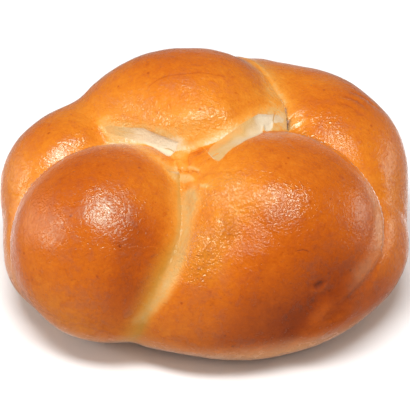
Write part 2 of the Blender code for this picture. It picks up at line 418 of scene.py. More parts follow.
# The noises in the crust: from one rise to the next in metres, detail, roughness and distortion
NOISES = {
    "cloud": (14.0 * MM, 2.0, 0.5, 0.0),
    "blotch": (2.4 * MM, 3.0, 0.65, 0.6),
    "mottle": (3.2 * MM, 4.0, 0.6, 0.4),
    "grain": (0.9 * MM, 3.0, 0.7, 0.0),
    "fibre": (1.6 * MM, 3.0, 0.6, 0.0),
    "pucker": (0.9 * MM, 1.0, 0.5, 0.6),
}
# The noise of the glaze wrinkles, and how its pattern is turned and stretched along one direction
WRINKLE_NOISE = (1.5 * MM, 2.0, 0.6, 0.8)
WRINKLE_TURN = (0.3, 0.4, 0.9)
WRINKLE_STRETCH = (1.0, 2.2, 1.0)
PINHOLE_SPACING = 1.9 * MM
FLECK_SPACING = 5.5 * MM
# Between which values each pattern sets in and shows in full, and how far the noises move that edge
EDGES = {
    "blotch": (0.06, 0.22),
    "pinhole": (0.16, 0.04),
    "fleck": (0.10, 0.03),
    "line": (0.24, 0.05),
    "scrap": (-0.3, 0.6),
    "raw": (-0.12, 0.18),
    "pale": (-1.6, 2.6),
    "matt": (-0.05, 0.25),
}
RAGGED = {
    "fleck": {"grain": 0.15},
    "line": {"grain": 0.12},
    "scrap": {"fibre": 1.4, "grain": 0.8},
    "raw": {"mottle": 0.5, "grain": 0.5},
    "pale": {"mottle": 2.4, "grain": 2.0},
    "matt": {"mottle": 1.0, "cloud": 0.6},
}
# How much browner each pattern makes raw dough, and how much less of it shows on crust that is browner
BROWNER = {"cloud": 0.18, "mottle": 0.30, "grain": 0.26, "fleck": 0.25, "pinhole": 0.10, "blotch": 0.09}
BROWNER_ON_RAW = 1.3
BROWNER_LESS = 0.65
# How far each pattern stands out of the crust, in millimetres, and how far those of the wrinkled glaze do
HIGHER = {"mottle": 0.15, "grain": 0.06, "pinhole": -0.06, "fleck": -0.03, "scrap": 0.05, "line": -0.4}
WRINKLED_HIGHER = {"wrinkle": 0.3, "pucker": 0.26}
# How brown each pale dough is at least, and how much its fibres vary that
PALE_DOUGH = {"pale": (0.17, 0.3), "scrap": (0.16, 0.25), "torn": (0.27, 0.15)}
TORN_FIBRE = 0.12  # how much browner than that the fibres make the dough in tears and at the seam
PALE_COVER = 0.9  # how much of the crust's colour the seam's pale dough hides
SEAM_MOTTLE = 0.6  # how patchy the painted shade along the seam is
PAINTED_REFLECTION_COVER = 0.85  # how much of the crust's colour the painted tan reflection round the base hides, and how patchy that is
PAINTED_REFLECTION_MOTTLE = 0.6
# How rough the glaze is where it is wrinkled and where matt, as shares of the smooth glaze's roughness
WRINKLED_GLOSS = 0.6
WRINKLED_IN_FULL = 2.0  # the glaze that is this wrinkled or more has the first of these shares in full
MATT_GLOSS = 1.7
GRAIN_ROUGHNESS = 0.15
RAW_ROUGHNESS = 0.75
GLINT_TINT = (0.5, 1.0, 0.9, 1.0)
BLOOM_TINT = (1.0, 0.85, 0.8, 1.0)
BLOOM_SPREAD = 0.27
DRY_SHINE = 0.15  # the share of the glaze's shine, and below of its bloom, that dry crust has
DRY_BLOOM = 0.3

# The lights: which way each stands from the bun, its width and height in metres, the setting that holds its
# radiance, and its share of that
LIGHT_DISTANCE = 1.0
LIGHTS = [
    ("overhead softbox", (-0.06, -0.24, 0.96), (0.5, 0.2), "softbox_radiance", 1.0),
    ("side panel", (-0.9, -0.1, 0.45), (0.3, 0.25), "side_radiance", 1.0),
    ("left card", (-0.93, 0.35, 0.08), (0.5, 0.4), "card_radiance", 0.5),
    ("right card", (0.94, 0.3, 0.12), (0.5, 0.4), "card_radiance", 1.0),
]
FLOOR_CLOUD_SIZE = 0.2
FLOOR_CLOUD_STRENGTH = 0.02
FLOOR_SHADE = (0.9, 0.9, 0.9, 1.0)
FLOOR_ROUGHNESS = 0.9
WHITE = (1.0, 1.0, 1.0, 1.0)


def colour_setting(name, description, red, green, blue):
    return bpy.props.FloatVectorProperty(
        name=name, description=description, subtype="COLOR", size=4, min=0.0, max=1.0,
        default=(red, green, blue, 1.0),
    )


def length_setting(name, description, default):
    return bpy.props.FloatProperty(
        name=name, description=description, default=default, min=0.0, unit="LENGTH",
    )


def share_setting(name, description, default):
    return bpy.props.FloatProperty(
        name=name, description=description, default=default, min=0.0, max=1.0, subtype="FACTOR",
    )


def radiance_setting(name, description, default):
    return bpy.props.FloatProperty(name=name, description=description, default=default, min=0.0)


class BunSizes(bpy.types.PropertyGroup):
    """How deep the bun's small forms are."""

    tear_depth: length_setting("Tear Depth", "How far raw dough lies below the crust beside it", 0.6 * MM)
    dimple_depth: length_setting("Dimple Depth", "How far the broad soft dimples rise and fall", 0.22 * MM)
    dimple_size: length_setting("Dimple Size", "From one broad dimple of the crust to the next", 6.0 * MM)
    crinkle_depth: length_setting("Crinkle Depth", "How far the glaze wrinkles rise and fall", 0.10 * MM)
    crinkle_size: length_setting("Crinkle Size", "From one glaze wrinkle to the next", 1.6 * MM)
    seed: bpy.props.IntProperty(name="Seed", description="Which unevenness of the crust is made", default=4)


class CrustFinish(bpy.types.PropertyGroup):
    """The colours of the dough from raw to darkest, the painted shade and reflection, and its gloss."""

    raw: colour_setting("Raw Dough", "The palest dough", 0.76, 0.56, 0.34)
    torn: colour_setting("Torn Dough", "White dough in the torn folds", 0.75, 0.62, 0.44)
    # Partly painted shade: this yellow also greys the torn dough where the tears run down into their folds
    dull_and_shaded: colour_setting("Dull Yellow", "Torn dough that has begun to colour", 0.62, 0.36, 0.125)
    # Painted shade: the seam's honey dough darkened as if in the shade of its valley
    seam_shade_colour: colour_setting("Ochre", "Dough low on the flank beside the front seam", 0.56, 0.235, 0.024)
    butter: colour_setting("Butter Yellow", "Dough that the heat has only just reached", 0.75, 0.42, 0.13)
    honey: colour_setting("Honey", "The lightest crust", 0.82, 0.30, 0.035)
    golden: colour_setting("Golden", "Lightly baked crust", 0.72, 0.208, 0.014)
    amber: colour_setting("Amber", "Crust baked through", 0.61, 0.137, 0.007)
    brown: colour_setting("Brown", "Well browned crust", 0.48, 0.087, 0.004)
    dark: colour_setting("Dark Brown", "Dark crust", 0.31, 0.046, 0.003)
    darkest: colour_setting("Darkest Brown", "Crust on the point of burning", 0.22, 0.032, 0.003)
    # Painted reflection: the tan stands for the pale floor mirrored low round the base and for the right
    # flank's milky band
    tan: colour_setting("Tan", "Dull crust round the base and in the pale band", 0.76, 0.39, 0.18)
    gloss: share_setting("Glaze Roughness", "Roughness of the egg-washed crust", 0.22)
    shine: share_setting("Glaze Shine", "How strongly the egg-washed crust mirrors", 0.75)
    bloom: share_setting("Bloom", "How milky the glaze looks where it turns away", 0.8)


# How brown the crust is at each of its colours
COLOUR_STOPS = {
    "raw": 0.0,
    "butter": 0.144,
    "honey": 0.306,
    "golden": 0.45,
    "amber": 0.585,
    "brown": 0.72,
    "dark": 0.9,
    "darkest": 1.0,
}
TORN_STOPS = {"torn": 0.0, "dull_and_shaded": 0.25, "honey": 0.45}
RAMP_REACH = 0.9  # the ramp of crust colours spans a little more browning than from 0 to 1


class StudioSettings(bpy.types.PropertyGroup):
    """The floor and the light."""

    floor_size: length_setting("Floor Size", "Width of the pale floor", 6.0)
    floor_colour: colour_setting("Floor Colour", "Colour of the pale floor", 0.92, 0.92, 0.92)
    softbox_radiance: radiance_setting("Softbox Radiance", "Brightness of the large light overhead", 31.0)
    side_radiance: radiance_setting("Side Radiance", "Brightness of the small panel on the left", 8.0)
    card_radiance: radiance_setting("Card Radiance", "Brightness of the low pale cards at both sides", 2.4)
    room_radiance: radiance_setting("Room Radiance", "Brightness of the room, which isn't mirrored", 0.35)


class Wire:
    """A number that leaves one socket of a node tree; sums on it add the tree's own Math nodes."""

    def __init__(self, board, socket):
        self.board = board
        self.socket = socket

    def calculate(self, operation, first, second=0.0):
        return self.board.node("ShaderNodeMath", {"operation": operation}, {0: first, 1: second})

    def __add__(self, other):
        return self.calculate("ADD", self, other)

    def __radd__(self, other):
        return self.calculate("ADD", other, self)

    def __sub__(self, other):
        return self.calculate("SUBTRACT", self, other)

    def __rsub__(self, other):
        return self.calculate("SUBTRACT", other, self)

    def __mul__(self, other):
        return self.calculate("MULTIPLY", self, other)

    def __rmul__(self, other):
        return self.calculate("MULTIPLY", other, self)

    def __rtruediv__(self, other):
        return self.calculate("DIVIDE", other, self)

    def __abs__(self):
        return self.calculate("ABSOLUTE", self)

    def at_least(self, other):
        return self.calculate("MAXIMUM", self, other)

    def at_most(self, other):
        return self.calculate("MINIMUM", self, other)


class Board:
    """A node tree being wired up."""

    def __init__(self, tree):
        self.tree = tree
        tree.nodes.clear()

    def node(self, kind, settings=None, sockets=None, output=0):
        """Adds a node of a kind, with its settings, then its sockets' values or wires. Gives one output."""
        node = self.tree.nodes.new(kind)
        for name, value in (settings or {}).items():
            if name == "stops":
                self.set_stops(node.color_ramp, value)
            else:
                setattr(node, name, value)
        for key, value in (sockets or {}).items():
            socket = node.inputs[key] if isinstance(key, int) else self.named(node.inputs, key)
            if isinstance(value, Wire):
                self.tree.links.new(value.socket, socket)
            else:
                socket.default_value = value
        if not node.outputs:
            return node
        place = node.outputs[output] if isinstance(output, int) else self.named(node.outputs, output)
        return Wire(self, place)

    @staticmethod
    def named(sockets, name):
        for socket in sockets:
            if name in (socket.identifier, socket.name):
                return socket
        raise KeyError(f"no socket named {name}")

    @staticmethod
    def set_stops(ramp, stops):
        while len(ramp.elements) > 1:
            ramp.elements.remove(ramp.elements[-1])
        ramp.elements[0].position, ramp.elements[0].color = stops[0]
        for position, colour in stops[1:]:
            ramp.elements.new(position).color = colour

    def attribute(self, name):
        return self.node("ShaderNodeAttribute", {"attribute_name": name}, output="Fac")

    def step(self, value, low, high):
        """0 below low and 1 above high, with a soft rise between them."""
        return self.node(
            "ShaderNodeMapRange",
            {"interpolation_type": "SMOOTHSTEP"},
            {"Value": value, "From Min": low, "From Max": high},
        )

    def ramp(self, amount, stops, finish):
        """Colours of the finish along an amount, from where on it each one lies."""
        colours = [(position, tuple(getattr(finish, name))) for name, position in stops.items()]
        return self.node("ShaderNodeValToRGB", {"stops": colours}, {"Fac": amount}, output="Color")

    def noise(self, place, size, detail=2.0, roughness=0.5, distortion=0.0):
        """Soft noise about 0, a given size in metres from one rise to the next."""
        sockets = {
            "Vector": place,
            "Scale": 1.0 / size,
            "Detail": detail,
            "Roughness": roughness,
            "Distortion": distortion,
        }
        return self.node("ShaderNodeTexNoise", {}, sockets) - 0.5

    def blend(self, amount, first, second):
        settings = {"data_type": "RGBA"}
        sockets = {"Factor_Float": amount, "A_Color": first, "B_Color": second}
        return self.node("ShaderNodeMix", settings, sockets, output="Result_Color")

    def mix(self, amount, first, second):
        return first + (second - first) * amount


def smooth(values, low, high):
    """0 below low and 1 above high, with a soft rise between them."""
    t = np.clip((values - low) / (high - low), 0.0, 1.0)
    return t * t * (3.0 - 2.0 * t)


def smooth_path(stations):
    """A Catmull-Rom path through stations of any number of columns."""
    known = np.array(stations, float)
    before = 2 * known[0] - known[1]
    after = 2 * known[-1] - known[-2]
    ends = np.vstack([before, known, after])
    spans = []
    for start in range(len(known) - 1):
        a, b, c, d = ends[start : start + 4]
        t = np.linspace(0.0, 1.0, BALLS_PER_SPAN)[:, None]
        cubic = (3 * b - a - 3 * c + d) * t**3
        square = (2 * a - 5 * b + 4 * c - d) * t**2
        spans.append(0.5 * (2 * b + (c - a) * t + square + cubic))
    return np.vstack(spans)


def soft_max(a, b, fillet):
    """The larger of two reaches, with the crease where they are equal rounded by the fillet."""
    near = np.maximum(fillet - np.abs(a - b), 0.0) / fillet
    return np.maximum(a, b) + near**3 * fillet / 6


def rope_reach(directions, rope):
    """How far from the core the rope's skin lies along each direction, in millimetres."""
    balls = smooth_path(rope["stations"])
    squash = np.array([1.0, 1.0, rope.get("flatten", 1.0)])
    rays = directions / squash
    centres = (balls[:, :3] - CORE) / squash
    ray_square = (rays * rays).sum(axis=1)[:, None]
    along = rays @ centres.T
    outside = (centres * centres).sum(axis=1) - balls[:, 3] ** 2
    under_root = along**2 - ray_square * outside
    far_side = (along + np.sqrt(np.maximum(under_root, 0.0))) / ray_square
    reach = np.where(under_root > 0, far_side, MISSED).max(axis=1)
    for swell in rope.get("swells", []):
        reach = soft_max(reach, rope_reach(directions, swell), swell["fillet"])
    return reach


def unevenness(points):
    """The slow rise and fall of hand-shaped dough, in millimetres."""
    total = np.zeros(len(points))
    for wave in range(UNEVEN_WAVES):
        turn = wave * GOLDEN_ANGLE
        rise = 1.0 - (2 * wave + 1) / UNEVEN_WAVES
        level = math.sqrt(1.0 - rise * rise)
        heading = np.array([level * math.cos(turn), level * math.sin(turn), rise])
        length = UNEVEN_LENGTH * (1.0 + UNEVEN_SPREAD * math.sin(wave))
        total += np.sin(points @ heading * 2 * math.pi / length + turn)
    return UNEVENNESS * total / math.sqrt(UNEVEN_WAVES / 2)


def bun_form(directions):
    """The crust's reach along each direction, and each rope's own reach, in millimetres."""
    reaches = np.stack([rope_reach(directions, rope) for rope in ROPES.values()], axis=1)
    reach = np.zeros(len(directions))
    for column, rope in enumerate(ROPES.values()):
        reach = soft_max(reach, reaches[:, column], rope["fillet"])
    reach += unevenness(CORE + directions * reach[:, None])
    to_table = CORE[2] / np.maximum(-directions[:, 2], LEVEL)
    return -soft_max(-reach, -to_table, BASE_EDGE_ROUND), reaches


def ball_grid(divisions):
    """Directions and square faces of a ball made from a cube's six gridded sides."""
    steps = np.tan(np.linspace(-1.0, 1.0, divisions + 1) * math.pi / 4)
    across, up = np.meshgrid(steps, steps, indexing="ij")
    corner = np.arange((divisions + 1) ** 2).reshape(divisions + 1, divisions + 1)
    ring = [corner[:-1, :-1], corner[1:, :-1], corner[1:, 1:], corner[:-1, 1:]]
    square = np.stack(ring, axis=-1).reshape(-1, 4)
    points = []
    faces = []
    for axis in range(3):
        for side in (1.0, -1.0):
            out = np.zeros(3)
            out[axis] = side
            first = np.roll([0.0, 1.0, 0.0], axis)
            second = np.cross(out, first)
            grid = out + across[..., None] * first + up[..., None] * second
            faces.append(square + len(points) * len(corner) ** 2)
            points.append(grid.reshape(-1, 3))
    points = np.vstack(points)
    points /= np.linalg.norm(points, axis=1)[:, None]
    kept, where = np.unique(np.round(points, 6), axis=0, return_inverse=True)
    return kept / np.linalg.norm(kept, axis=1)[:, None], where.reshape(-1)[np.vstack(faces)]


def picture_place(points):
    """Where points in metres show in the picture: across and down from its upper left corner."""
    camera = CAMERA_TARGET + TOWARDS_CAMERA * CAMERA_DISTANCE
    offset = points - np.array(camera)
    depth = -(offset @ np.array(TOWARDS_CAMERA))
    zoom = CAMERA_LENS / SENSOR_WIDTH * PICTURE_WIDTH / depth
    across = PICTURE_MIDDLE[0] + offset[:, 0] * zoom
    down = PICTURE_MIDDLE[1] - offset @ np.array(PICTURE_UP) * zoom
    return np.stack([across, down], axis=1)


def outline_depth(places, outline):
    """How far inside a closed outline each place lies, negative outside."""
    corners = np.array(outline, float)
    nearest = np.full(len(places), np.inf)
    inside = np.zeros(len(places), bool)
    for start, end in zip(corners, np.roll(corners, -1, axis=0)):
        run = end - start
        offset = places - start
        along = np.clip(offset @ run / (run @ run), 0.0, 1.0)
        gap = offset - along[:, None] * run
        nearest = np.minimum(nearest, np.hypot(gap[:, 0], gap[:, 1]))
        if run[1] != 0:
            crosses = (start[1] > places[:, 1]) != (end[1] > places[:, 1])
            edge = start[0] + (places[:, 1] - start[1]) * run[0] / run[1]
            inside ^= crosses & (places[:, 0] < edge)
    return np.where(inside, nearest, -nearest)


class Crust:
    """The bun's crust as a mesh, and what is known at each of its points."""

    def __init__(self):
        core_rays, self.faces = ball_grid(SPHERE_DIVISIONS)
        leaning = core_rays + LEAN
        self.directions = leaning / np.linalg.norm(leaning, axis=1)[:, None]
        reach, self.reaches = bun_form(self.directions)
        self.points = CORE + self.directions * reach[:, None]
        self.owner = self.reaches.argmax(axis=1)
        low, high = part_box("bun")
        drawn_low, drawn_high = self.points.min(axis=0), self.points.max(axis=0)
        self.scale = (high.x - low.x) / (drawn_high[0] - drawn_low[0])
        self.shift = (np.array(low) + np.array(high)) / 2 - (drawn_low + drawn_high) / 2 * self.scale
        self.shift[2] = low.z - drawn_low[2] * self.scale
        a = self.faces
        sides = np.vstack([a[:, [0, 1]], a[:, [1, 2]], a[:, [2, 3]], a[:, [3, 0]]])
        self.edges = np.unique(np.sort(sides, axis=1), axis=0)
        self.normals = self.find_normals()
        self.places = picture_place(self.placed())
        self.facing = self.normals @ np.array(TOWARDS_CAMERA)

    def placed(self):
        """The points in metres, in the bun's frame."""
        return self.points * self.scale + self.shift

    def find_normals(self):
        corners = self.points[self.faces]
        outward = np.cross(corners[:, 2] - corners[:, 0], corners[:, 3] - corners[:, 1])
        normals = np.zeros_like(self.points)
        for corner in range(4):
            np.add.at(normals, self.faces[:, corner], outward)
        return normals / np.linalg.norm(normals, axis=1)[:, None]

    def on(self, rope):
        return self.owner == ROPE_NAMES.index(rope)

    def point_at(self, across, down, rope):
        """The point of a rope's crust that shows at a place in the picture."""
        gap = np.hypot(self.places[:, 0] - across, self.places[:, 1] - down)
        seen = self.facing > 0
        if rope:
            seen &= self.on(rope)
        return self.points[np.where(seen, gap, np.inf).argmin()]

    def outline(self, corners):
        """How far inside an outline drawn on the picture each point lies, in millimetres."""
        depth = outline_depth(self.places, corners) * PICTURE_UNIT
        return np.where(self.facing > 0, depth, np.minimum(depth, HIDDEN))

    def fine_lines(self, lines):
        """How far each point lies to one side of the nearest drawn line, in millimetres, and its strength."""
        side = np.full(len(self.points), LINE_REACH)
        gap = side.copy()
        strength = np.zeros(len(self.points))
        for amount, path in lines:
            corners = smooth_path(path)[::LINE_THINNING]
            low = corners.min(axis=0) - LINE_REACH / PICTURE_UNIT
            high = corners.max(axis=0) + LINE_REACH / PICTURE_UNIT
            within = np.all((self.places > low) & (self.places < high), axis=1)
            close = np.flatnonzero(within & (self.facing > 0))
            for start, end in zip(corners, corners[1:]):
                run = end - start
                offset = self.places[close] - start
                along = np.clip(offset @ run / (run @ run), 0.0, 1.0)
                apart = offset - along[:, None] * run
                distance = np.hypot(apart[:, 0], apart[:, 1]) * PICTURE_UNIT
                turn = np.sign(run[0] * offset[:, 1] - run[1] * offset[:, 0])
                nearer = distance < gap[close]
                chosen = close[nearer]
                gap[chosen] = distance[nearer]
                side[chosen] = (turn * distance)[nearer]
                strength[chosen] = amount
        return side, strength * np.exp(-((gap / LINE_FADE) ** 2))

    def spread(self, places, reach, rope, elsewhere, elsewhere_weight):
        """Amounts given at places in the picture, each reaching some way round over the crust."""
        total = np.full(len(self.points), elsewhere_weight * elsewhere)
        weight = np.full(len(self.points), elsewhere_weight)
        for across, down, amount in places:
            middle = self.point_at(across, down, rope)
            share = np.exp(-(((self.points - middle) / reach) ** 2).sum(axis=1))
            total += share * amount
            weight += share
        return total / weight

    def browning(self):
        """How brown each point is baked, rope by rope, with the painted highlights of the table."""
        lead = self.reaches - self.reaches.max(axis=1)[:, None]
        share = np.clip(1.0 + lead / BROWNING_BLEND, 0.0, 1.0) ** 2
        baked = np.full_like(self.reaches, BROWNING_ELSEWHERE)
        for column, rope in enumerate(ROPE_NAMES):
            if rope in BROWNING_AND_PAINTED_HIGHLIGHTS:
                baked[:, column] = self.spread(
                    BROWNING_AND_PAINTED_HIGHLIGHTS[rope], BROWNING_SPREAD, rope, BROWNING_ELSEWHERE, BROWNING_ELSEWHERE_WEIGHT
                )
        return (baked * share).sum(axis=1) / share.sum(axis=1)

    def beside_crease(self, rope, other, reach):
        """How near each point of a rope is to its crease with another: 1 there, 0 from the reach on."""
        one, two = ROPE_NAMES.index(rope), ROPE_NAMES.index(other)
        a, b = self.edges[:, 0], self.edges[:, 1]
        swap = self.owner[a] == two
        a, b = np.where(swap, b, a), np.where(swap, a, b)
        chosen = (self.owner[a] == one) & (self.owner[b] == two)
        a, b = a[chosen], b[chosen]
        lead_a = self.reaches[a, one] - self.reaches[a, two]
        lead_b = self.reaches[b, one] - self.reaches[b, two]
        share = (lead_a / (lead_a - lead_b))[:, None]
        crease = self.points[a] * (1.0 - share) + self.points[b] * share
        tree = KDTree(len(crease))
        for index, point in enumerate(crease):
            tree.insert(point, index)
        tree.balance()
        near = np.zeros(len(self.points))
        own = np.flatnonzero(self.on(rope))
        gaps = np.array([tree.find(point)[2] for point in self.points[own]])
        near[own] = np.clip(1.0 - gaps / reach, 0.0, 1.0) ** 2
        return near

    def mark(self, rope, width, path):
        """How strongly each point belongs to a mark along a path in the picture, from 1 on the path to 0."""
        places = smooth_path(path)[::MARK_THINNING]
        marks = np.array([self.point_at(across, down, rope) for across, down in places])
        room = MARK_REACH * width
        low, high = marks.min(axis=0) - room, marks.max(axis=0) + room
        close = np.all((self.points > low) & (self.points < high), axis=1)
        if rope:
            close &= self.on(rope)
        gaps = np.linalg.norm(self.points[close][:, None] - marks, axis=2).min(axis=1)
        near = np.zeros(len(self.points))
        near[close] = np.exp(-((gaps / width) ** 2))
        return near


def crust_relief(crust, sizes, tear, torn):
    """How far each point moves out along its normal, in millimetres, and how brown it is baked, with painted
    shade from some marks.
    """
    ledge = np.clip(1.0 - torn / TEAR_SLOPE, 0.0, 1.0)
    rise = -smooth(tear, *TEAR_STEP) * ledge * sizes.tear_depth / MM
    bake = crust.browning()
    bake -= np.where(crust.on("back_rope"), HALO_PALER * smooth(tear, -HALO_WIDTH, 0.0), 0.0)
    for rope, other, reach, deeper, paler in CREASES:
        near = crust.beside_crease(rope, other, reach)
        rise -= near * deeper * smooth(crust.points[:, 2], *CREASE_HEIGHTS)
        bake -= near * paler
    # The marks' browner colour is painted shade in the pit, the flap's fold and the lower right crease
    for rope, width, height, browner, path in MARKS_AND_PAINTED_SHADE:
        strength = crust.mark(rope, width, path)
        rise += strength * height
        bake += strength * browner
    return rise, bake


def painted_seam_shade(crust):
    """How much of the painted shade along the front seam each point shows."""
    lower = smooth(crust.places[:, 1], *SEAM_ROWS)
    fade = SEAM_FADE_ABOVE + (SEAM_FADE_BELOW - SEAM_FADE_ABOVE) * lower
    left = crust.beside_crease("front_left_rope", "front_right_rope", SEAM_REACH_LEFT) ** fade
    right = crust.beside_crease("front_right_rope", "front_left_rope", SEAM_REACH_RIGHT) * lower
    return np.maximum(left, right)


def crust_mesh(sizes):
    crust = Crust()
    tear = np.maximum(crust.outline(LEFT_TEAR), crust.outline(RIGHT_TEAR))
    pale = crust.outline(PALE_SEAM)
    torn = crust.spread(TEAR_BROWNING_AND_SHADE, TEAR_SPREAD, None, TEAR_ELSEWHERE, TEAR_ELSEWHERE_WEIGHT)
    rise, bake = crust_relief(crust, sizes, tear, torn)
    crust.points = crust.points + crust.normals * rise[:, None]
    lifted = smooth(crust.points[:, 2], *LIFTED_HEIGHTS)
    crinkle = crust.spread(WRINKLED, WRINKLED_SPREAD, None, WRINKLED_ELSEWHERE, WRINKLED_ELSEWHERE_WEIGHT)
    line_side, line_strength = crust.fine_lines(LINES_AND_PAINTED_SHADOW)
    # Painted reflection: the tan of the pale floor low round the base, and the band on the right flank
    rim = 1.0 - smooth(crust.points[:, 2], *PAINTED_REFLECTION_HEIGHTS)
    for strength, path in PAINTED_REFLECTION_BAND:
        rim = np.maximum(rim, crust.mark(None, PAINTED_REFLECTION_BAND_WIDTH, path) * strength)
    dry = [(*place, amount) for amount, places in DRY.items() for place in places]

    mesh = bpy.data.meshes.new("bread_crust")
    mesh.from_pydata(crust.placed().tolist(), [], crust.faces.tolist())
    mesh.shade_smooth()
    fields = {
        "bake": bake,
        "tear": tear,
        "torn": torn,
        "pale": pale,
        "crinkle": crinkle * lifted,
        "lifted": lifted,
        "rim": rim,
        "scrap": np.max([crust.outline(corners) for corners in SCRAPS], axis=0),
        "line_side": line_side,
        "line_strength": line_strength,
        "dry": crust.spread(dry, DRY_SPREAD, None, 0.0, DRY_ELSEWHERE_WEIGHT),
        "seam": painted_seam_shade(crust),
    }
    for name, values in fields.items():
        layer = mesh.attributes.new(name, "FLOAT", "POINT")
        layer.data.foreach_set("value", values.astype(np.float32))
    return mesh


def crust_patterns(board):
    """The noises, specks, lines and patches of dough that the crust's colour, gloss and relief share."""
    place = board.node("ShaderNodeTexCoord", output="Object")
    look = {name: board.noise(place, *kind) for name, kind in NOISES.items()}
    turned = {"Vector": place, "Rotation": WRINKLE_TURN, "Scale": WRINKLE_STRETCH}
    look["wrinkle"] = abs(board.noise(board.node("ShaderNodeMapping", {}, turned), *WRINKLE_NOISE))

    def ragged(name, value):
        """A value that the noises move, so that the edge of what it shows is ragged."""
        for noise, amount in RAGGED[name].items():
            value = value + look[noise] * amount
        return value

    def specks(spacing):
        sockets = {"Vector": place, "Scale": 1.0 / spacing}
        return board.node("ShaderNodeTexVoronoi", {"feature": "F1"}, sockets)

    values = {
        "blotch": look["blotch"],
        "pinhole": specks(PINHOLE_SPACING),
        "fleck": ragged("fleck", specks(FLECK_SPACING)),
        "line": abs(ragged("line", board.attribute("line_side"))),
        "scrap": ragged("scrap", board.attribute("scrap")),
        "raw": ragged("raw", board.attribute("tear")),
        "pale": ragged("pale", board.attribute("pale")),
        "matt": ragged("matt", 0.0),
    }
    for name, value in values.items():
        look[name] = board.step(value, *EDGES[name])
    look["line"] = look["line"] * board.attribute("line_strength")
    return look


def crust_colour(board, look, finish):
    """The crust's colour: browned by its patterns, bare at the tears and the seam, painted shade beside the
    seam, and a painted tan reflection round the base and on the right flank.
    """

    def dough(kind):
        brown, varied = PALE_DOUGH[kind]
        return brown + look["fibre"] * varied

    baked = board.attribute("bake")
    uneven = sum(look[name] * amount for name, amount in BROWNER.items())
    bake = baked + uneven * (BROWNER_ON_RAW - baked * BROWNER_LESS)
    bake = board.mix(look["pale"], bake, dough("pale"))
    bake = board.mix(look["scrap"], bake, dough("scrap")) + look["line"]
    colour = board.ramp(bake * RAMP_REACH, COLOUR_STOPS, finish)
    # Painted shade: the seam's dough darkened towards the valley of the front seam
    seam = board.attribute("seam") * (1.0 + look["mottle"] * SEAM_MOTTLE)
    colour = board.blend(seam, colour, tuple(finish.seam_shade_colour))
    # Torn dough: where it is browner at the tears' low ends, partly painted shade
    torn = board.mix(look["raw"], dough("torn"), board.attribute("torn"))
    torn = board.ramp(torn + look["fibre"] * TORN_FIBRE + look["line"], TORN_STOPS, finish)
    colour = board.blend(look["raw"].at_least(look["pale"] * PALE_COVER), colour, torn)
    # Painted reflection: the tan over the crust low round the base and in the band on the right flank
    rim = board.attribute("rim") * (PAINTED_REFLECTION_COVER + look["mottle"] * PAINTED_REFLECTION_MOTTLE)
    return board.blend(rim, colour, tuple(finish.tan))


def crust_material(finish):
    """Egg-washed crust, from raw dough in the tears to dark brown, speckled and finely wrinkled."""
    material = bpy.data.materials.new("crust")
    material.use_nodes = True
    board = Board(material.node_tree)
    look = crust_patterns(board)
    crinkle = board.attribute("crinkle")
    creased = sum(look[name] * amount for name, amount in WRINKLED_HIGHER.items()) * crinkle
    height = creased + sum(look[name] * amount for name, amount in HIGHER.items())
    relief = {"Strength": 1.0, "Distance": MM, "Height": height}
    bump = board.node("ShaderNodeBump", {}, relief, output="Normal")
    wrinkled = (crinkle * (1.0 / WRINKLED_IN_FULL)).at_most(1.0)
    roughness = board.mix(wrinkled, finish.gloss, finish.gloss * WRINKLED_GLOSS)
    roughness = board.mix(look["matt"], roughness, finish.gloss * MATT_GLOSS)
    roughness = roughness + look["grain"] * GRAIN_ROUGHNESS
    sockets = {
        "Base Color": crust_colour(board, look, finish),
        "Roughness": board.mix(look["raw"], roughness, RAW_ROUGHNESS),
        "Specular IOR Level": finish.shine,
        "Specular Tint": GLINT_TINT,
        "Sheen Weight": finish.bloom,
        "Sheen Roughness": BLOOM_SPREAD,
        "Sheen Tint": BLOOM_TINT,
        "Normal": bump,
    }
    glazed = board.node("ShaderNodeBsdfPrincipled", {}, sockets)
    sockets["Specular IOR Level"] = finish.shine * DRY_SHINE
    sockets["Sheen Weight"] = finish.bloom * DRY_BLOOM
    unglazed = board.node("ShaderNodeBsdfPrincipled", {}, sockets)
    surface = board.node("ShaderNodeMixShader", {}, {"Fac": board.attribute("dry"), 1: glazed, 2: unglazed})
    board.node("ShaderNodeOutputMaterial", {}, {"Surface": surface})
    return material


